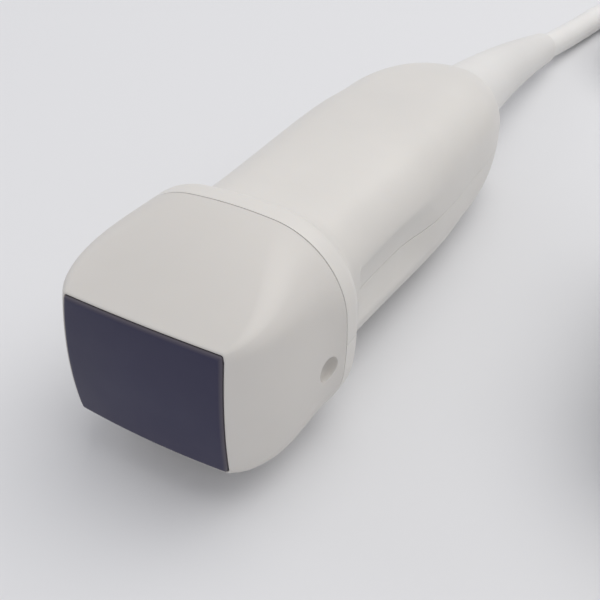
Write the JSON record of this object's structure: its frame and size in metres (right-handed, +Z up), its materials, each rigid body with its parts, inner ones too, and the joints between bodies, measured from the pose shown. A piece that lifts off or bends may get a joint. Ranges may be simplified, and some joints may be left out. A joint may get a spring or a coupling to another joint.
{
  "type": "ultrasound transducer probe",
  "caption": "Hand-held phased-array ultrasound probe with a crowned lens, contoured two-part handle, tapered strain relief and a coiled cable that ends in its system connector.",
  "frame": {"origin": "centre of the object's bounding box on the floor it lies on, measured without its free cable", "axes": "+Y from the lens to the cable, +Z up, +X towards the side with the marker dimple"},
  "size_m": [0.1446, 0.2713, 0.0383],
  "materials": {
    "housing_white": "satin",
    "nose_white": "satin",
    "lens_rubber": "satin",
    "matching_epoxy": "matte",
    "ceramic": "matte",
    "backing": "matte",
    "aluminium": "satin",
    "flex": "satin",
    "seal_rubber": "matte",
    "board_green": "satin",
    "black_plastic": "satin",
    "tinned_steel": "satin",
    "screw_steel": "satin",
    "gilt": "polished",
    "brass": "satin",
    "wire": "satin",
    "cable_jacket": "satin",
    "relief_rubber": "satin",
    "tie_fabric": "matte",
    "connector_grey": "satin"
  },
  "bodies": {
    "root": {"acoustic_lens": "lens_rubber", "matching_layer_outer": "matching_epoxy", "matching_layer_inner": "matching_epoxy", "piezo_array": "ceramic", "backing_block": "backing", "array_carrier": "aluminium", "flex_circuit_upper": "flex", "flex_circuit_lower": "flex", "nose_shell": "nose_white", "nose_seal": "seal_rubber", "handle_shell_upper": "housing_white", "handle_shell_lower": "housing_white", "board_chassis": "aluminium", "termination_board_upper": "board_green", "termination_board_lower": "board_green", "board_connector_upper": "black_plastic", "board_connector_lower": "black_plastic", "board_screws": "screw_steel", "shield_can_upper": "tinned_steel", "shield_can_lower": "tinned_steel", "coax_bundle": "wire", "shield_ferrule": "brass", "strain_relief": "relief_rubber", "cable_core": "cable_jacket", "cable_lead": "cable_jacket", "cable_coil": "cable_jacket", "cable_tail": "cable_jacket", "coil_tie": "tie_fabric", "connector_relief": "relief_rubber", "connector_housing_upper": "connector_grey", "connector_housing_lower": "connector_grey", "connector_shroud": "tinned_steel", "contact_block": "black_plastic", "contacts": "gilt", "connector_board": "board_green", "connector_screws": "screw_steel"}
  },
  "joints": []
}
